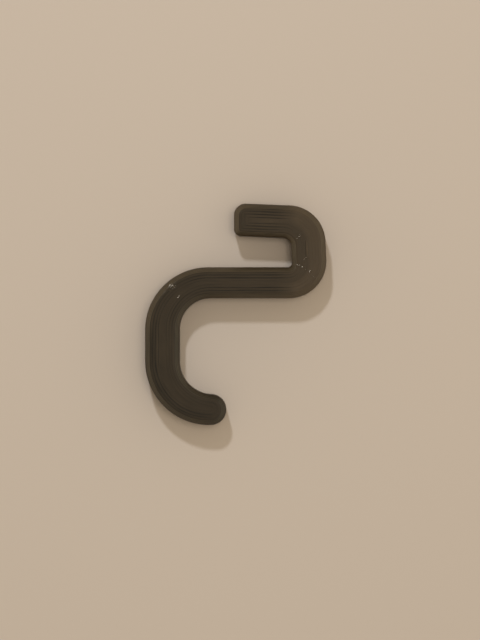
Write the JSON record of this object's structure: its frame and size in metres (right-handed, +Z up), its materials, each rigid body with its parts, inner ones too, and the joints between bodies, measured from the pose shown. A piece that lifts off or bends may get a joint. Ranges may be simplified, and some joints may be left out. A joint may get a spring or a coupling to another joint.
{
  "type": "pegboard hook",
  "caption": "One-piece printed hook: a prong and web pass through a board's slot, a shank bears on the board's face, and an arm with a rounded upturned tip carries things.",
  "frame": {"origin": "under the middle of the hook's footprint, on the flat side that it lies on", "axes": "+Z up through the flat hook; +Y from the arm's tip towards the board and the prong behind it; +X along the board's face, from the arm to the web, which points up when the hook is in use"},
  "size_m": [0.029, 0.0356, 0.0047],
  "materials": {
    "printed_plastic": "black printed plastic with fine print lines and a low sheen"
  },
  "bodies": {
    "root": {"hook": "printed_plastic"}
  },
  "joints": []
}
